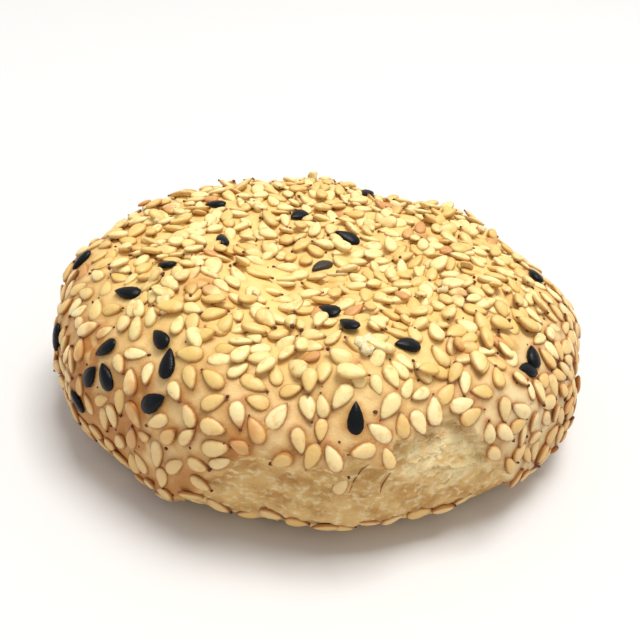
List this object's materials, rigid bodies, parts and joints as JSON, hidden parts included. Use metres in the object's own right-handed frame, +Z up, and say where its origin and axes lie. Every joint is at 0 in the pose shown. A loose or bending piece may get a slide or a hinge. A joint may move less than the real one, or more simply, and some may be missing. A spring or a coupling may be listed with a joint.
{
  "type": "sesame flaky pastry",
  "caption": "Round, slightly domed pastry of laminated dough, covered in white and black sesame seeds, with torn flaky layers round its foot.",
  "frame": {"origin": "middle of the flat base that the pastry rests on", "axes": "+Z up through the crown, -Y towards the front, where the torn layers show most, +X to the right seen from the front"},
  "size_m": [0.0728, 0.0708, 0.0244],
  "materials": {
    "crust": "baked, golden, with an egg glaze",
    "white_seed": "ivory to toasted gold, with a faint oily shine",
    "black_seed": "blue-black, slightly glossy",
    "flaky_dough": "dry, matte torn layers"
  },
  "bodies": {
    "root": {"sesame_pastry": "crust"}
  },
  "joints": []
}
